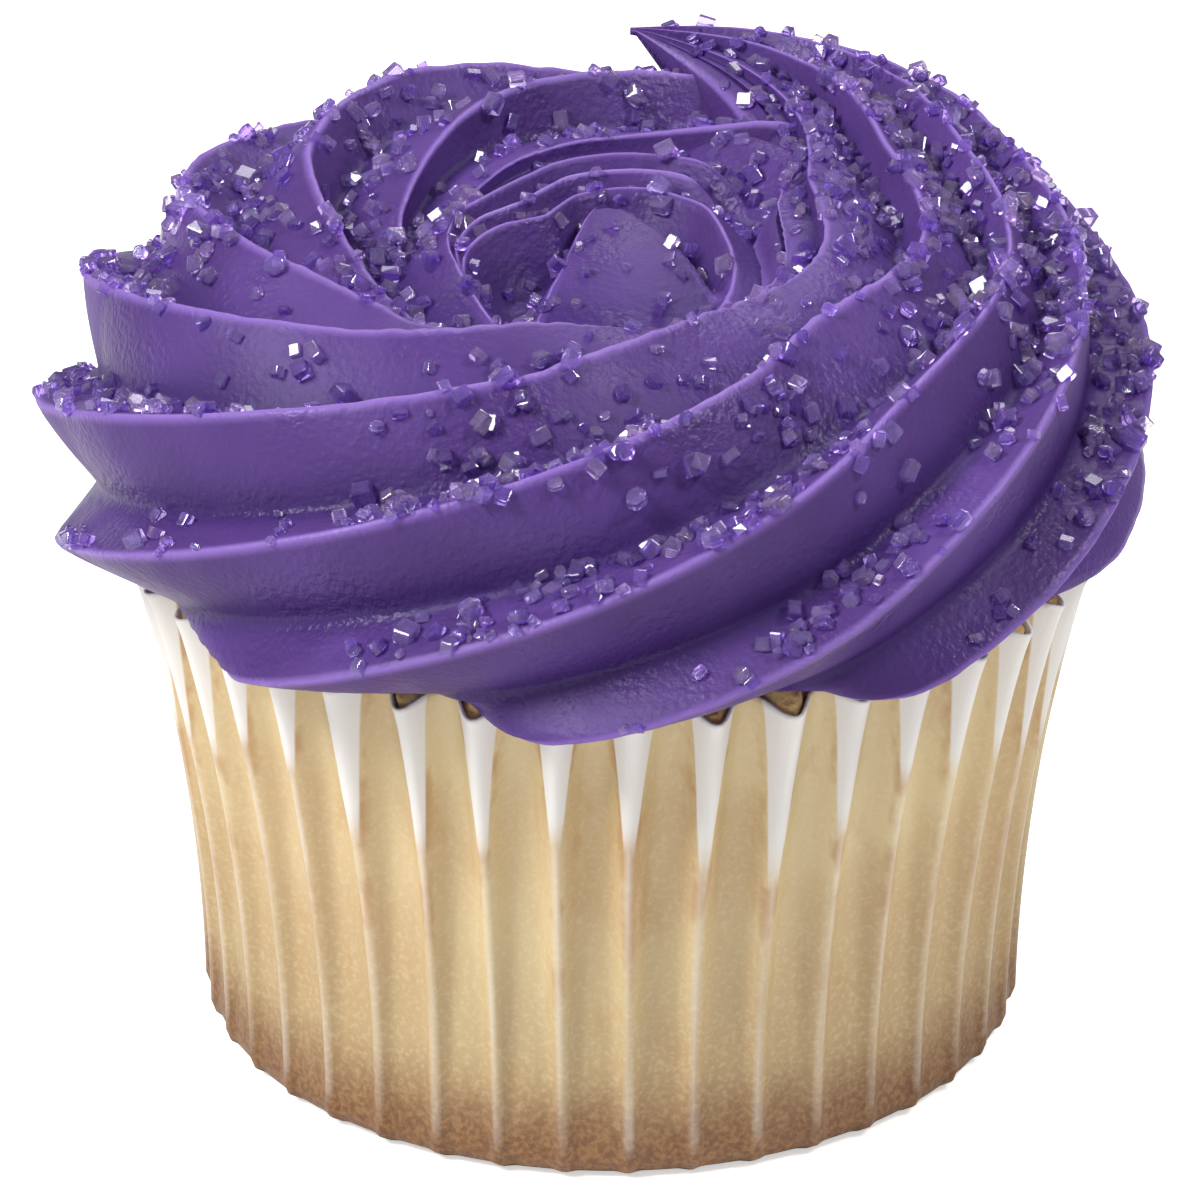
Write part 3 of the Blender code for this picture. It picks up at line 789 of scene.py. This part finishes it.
class OBJECT_OT_cupcake_sugar(bpy.types.Operator):
    """Scatter coarse sugar over the icing"""

    bl_idname = "object.cupcake_sugar"
    bl_label = "Sanding sugar"

    def crystal(self, kind):
        """Points and faces of one crystal about 1 unit long, its edges a little worn."""
        deselect_all()
        if kind == 0:
            bpy.ops.mesh.primitive_cube_add(size=1.0)
        else:
            bpy.ops.mesh.primitive_cylinder_add(vertices=6, radius=0.55, depth=0.8)
        obj = bpy.context.active_object
        bpy.ops.object.mode_set(mode="EDIT")
        bpy.ops.mesh.select_all(action="SELECT")
        bpy.ops.mesh.bevel(offset=0.09, segments=1, affect="EDGES")
        bpy.ops.object.mode_set(mode="OBJECT")
        points = np.array([v.co[:] for v in obj.data.vertices])
        faces = [tuple(p.vertices) for p in obj.data.polygons]
        bpy.data.objects.remove(obj)
        return points, faces

    def execute(self, context):
        sugar = context.scene.cupcake_sugar
        icing = bpy.data.objects["buttercream_swirl"]
        tree = BVHTree.FromObject(icing, context.evaluated_depsgraph_get())
        chance = np.random.default_rng(41)
        shapes = [self.crystal(0), self.crystal(1)]
        heaps = {kind: ([], []) for kind in range(4)}
        placed, tries = 0, 0
        while placed < sugar.count and tries < sugar.count * 40:
            tries += 1
            x, y = chance.uniform(-35, 35, 2)
            weight = SUGAR_EVERYWHERE
            for cx, cy, spread, full in SUGAR_DRIFTS:
                weight += full * math.exp(-((x - cx) ** 2 + (y - cy) ** 2) / (2 * spread * spread))
            if chance.random() > weight:
                continue
            spot, normal, _, _ = tree.ray_cast(Vector((x * MM, y * MM, DROP_HEIGHT)), Vector((0, 0, -1)))
            if spot is None or spot.z < LOWEST_SUGAR:
                continue
            # crystals slide off the steep faces, though not off every one
            if normal.z < 0.1 + 0.45 * chance.random():
                continue
            size = sugar.length * float(np.clip(chance.normal(1.0, 0.22), 0.55, 1.5))
            scale = np.array([1.0, chance.uniform(0.6, 0.95), chance.uniform(0.5, 0.85)]) * size
            kind = int(chance.random() < 0.3)
            points, faces = shapes[kind]
            points = points * scale * (1.0 + chance.uniform(-0.07, 0.07, points.shape))
            lie = normal.to_track_quat("Z", "Y").to_matrix()
            tip = Euler((chance.normal(0, 0.55), chance.normal(0, 0.55), chance.uniform(0, 6.3))).to_matrix()
            turn = np.array(lie @ tip)
            middle = np.array(spot + normal * (scale[2] * chance.uniform(0.15, 0.5)))
            points = points @ turn.T + middle
            heap = heaps[kind * 2 + int(chance.random() < 0.45)]
            start = sum(len(p) for p in heap[0])
            heap[0].append(points)
            heap[1].extend([tuple(i + start for i in face) for face in faces])
            placed += 1
        if placed < sugar.count * 0.5:
            raise RuntimeError("too few crystals found a place on the icing")
        looks = (
            sanding_sugar("light_sanding_sugar", (*sugar.light, 1.0), 0.09),
            sanding_sugar("deep_sanding_sugar", (*sugar.deep, 1.0), 0.13),
        )
        names = ("sugar_blocks_light", "sugar_blocks_deep", "sugar_prisms_light", "sugar_prisms_deep")
        for kind, (clusters, faces) in heaps.items():
            mesh = bpy.data.meshes.new(names[kind])
            mesh.from_pydata(np.concatenate(clusters).tolist(), [], faces)
            piece = bpy.data.objects.new(names[kind], mesh)
            context.scene.collection.objects.link(piece)
            mesh.materials.append(looks[kind % 2])
            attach(piece, "root")
        return {"FINISHED"}


class OBJECT_OT_cupcake_stage(bpy.types.Operator):
    """Set the pale floor, the soft white lamps and the camera"""

    bl_idname = "object.cupcake_stage"
    bl_label = "Stage"

    def lamp(self, name, place, size, power):
        data = bpy.data.lights.new(name, "AREA")
        data.shape = "DISK"
        data.size = size
        data.energy = power
        obj = bpy.data.objects.new(name, data)
        bpy.context.scene.collection.objects.link(obj)
        obj.location = place
        obj.rotation_euler = (Vector((0, 0, 0.03)) - obj.location).to_track_quat("-Z", "Y").to_euler()

    def execute(self, context):
        stage = context.scene.cupcake_stage
        deselect_all()
        bpy.ops.mesh.primitive_plane_add(size=6.0)
        floor = bpy.context.active_object
        floor.name = floor.data.name = "floor"
        material, tree, shader = new_material("painted_board")
        rays = add(tree, "ShaderNodeLightPath")
        seen = math_node(tree, "MAXIMUM", rays.outputs["Is Camera Ray"], rays.outputs["Is Transmission Ray"])
        bounce = blend(tree, seen, (0.85, 0.84, 0.83, 1.0), (*stage.floor, 1.0))
        tree.links.new(bounce, shader.inputs["Base Color"])
        shader.inputs["Roughness"].default_value = 0.9
        shader.inputs["Specular IOR Level"].default_value = 0.1
        shader.inputs["Emission Color"].default_value = (1.0, 1.0, 1.0, 1.0)
        tree.links.new(math_node(tree, "MULTIPLY", seen, 0.55), shader.inputs["Emission Strength"])
        floor.data.materials.append(material)

        world = bpy.data.worlds.new("studio")
        world.use_nodes = True
        context.scene.world = world
        tree = world.node_tree
        rays = add(tree, "ShaderNodeLightPath")
        seen = math_node(tree, "MAXIMUM", rays.outputs["Is Camera Ray"], rays.outputs["Is Transmission Ray"])
        ground = tree.nodes["Background"]
        ground.inputs["Color"].default_value = (1.0, 1.0, 1.0, 1.0)
        tree.links.new(ramp(tree, seen, 0.0, 1.0, 0.30, 1.0), ground.inputs["Strength"])

        self.lamp("lamp_left", (-0.60, -0.32, 0.70), 0.38, 9.4)
        self.lamp("lamp_right", (0.58, -0.15, 0.78), 0.22, 4.3)
        self.lamp("lamp_back", (0.15, 0.60, 0.80), 0.45, 2.6)

        data = bpy.data.cameras.new("camera")
        camera = bpy.data.objects.new("camera", data)
        context.scene.collection.objects.link(camera)
        aim = Vector((-0.0007, 0.0, 0.0255))
        back = Vector((0.0, -math.cos(stage.elevation), math.sin(stage.elevation)))
        camera.location = aim + back * stage.distance
        camera.rotation_euler = (-back).to_track_quat("-Z", "Y").to_euler()
        data.sensor_width = 36.0
        data.lens = 160.3
        data.clip_start = 0.01
        context.scene.camera = camera
        context.scene.view_settings.view_transform = "Standard"
        return {"FINISHED"}


class VIEW3D_PT_cupcake(bpy.types.Panel):
    """Sizes, colours and steps of the cupcake"""

    bl_idname = "VIEW3D_PT_cupcake"
    bl_label = "Cupcake"
    bl_space_type = "VIEW_3D"
    bl_region_type = "UI"
    bl_category = "Cupcake"

    def draw(self, context):
        for group, step in STEPS:
            box = self.layout.box()
            settings = getattr(context.scene, group)
            for name in settings.bl_rna.properties.keys():
                if name not in ("rna_type", "name"):
                    box.prop(settings, name)
            box.operator(step)


STEPS = (
    ("cupcake_case", "object.cupcake_case"),
    ("cupcake_cake", "object.cupcake_cake"),
    ("cupcake_icing", "object.cupcake_icing"),
    ("cupcake_sugar", "object.cupcake_sugar"),
    ("cupcake_stage", "object.cupcake_stage"),
)
GROUPS = (CupcakeCase, CupcakeCake, CupcakeIcing, CupcakeSugar, CupcakeStage)
OPERATORS = (
    OBJECT_OT_cupcake_case,
    OBJECT_OT_cupcake_cake,
    OBJECT_OT_cupcake_icing,
    OBJECT_OT_cupcake_sugar,
    OBJECT_OT_cupcake_stage,
    VIEW3D_PT_cupcake,
)


def register():
    for cls in GROUPS + OPERATORS:
        bpy.utils.register_class(cls)
    for (group, _), cls in zip(STEPS, GROUPS):
        setattr(bpy.types.Scene, group, PointerProperty(type=cls))


def unregister():
    for group, _ in STEPS:
        delattr(bpy.types.Scene, group)
    for cls in reversed(GROUPS + OPERATORS):
        bpy.utils.unregister_class(cls)


def main():
    register()
    bpy.ops.object.cupcake_case()
    bpy.ops.object.cupcake_cake()
    bpy.ops.object.cupcake_icing()
    bpy.ops.object.cupcake_sugar()
    bpy.ops.object.cupcake_stage()


if __name__ == "__main__":
    main()
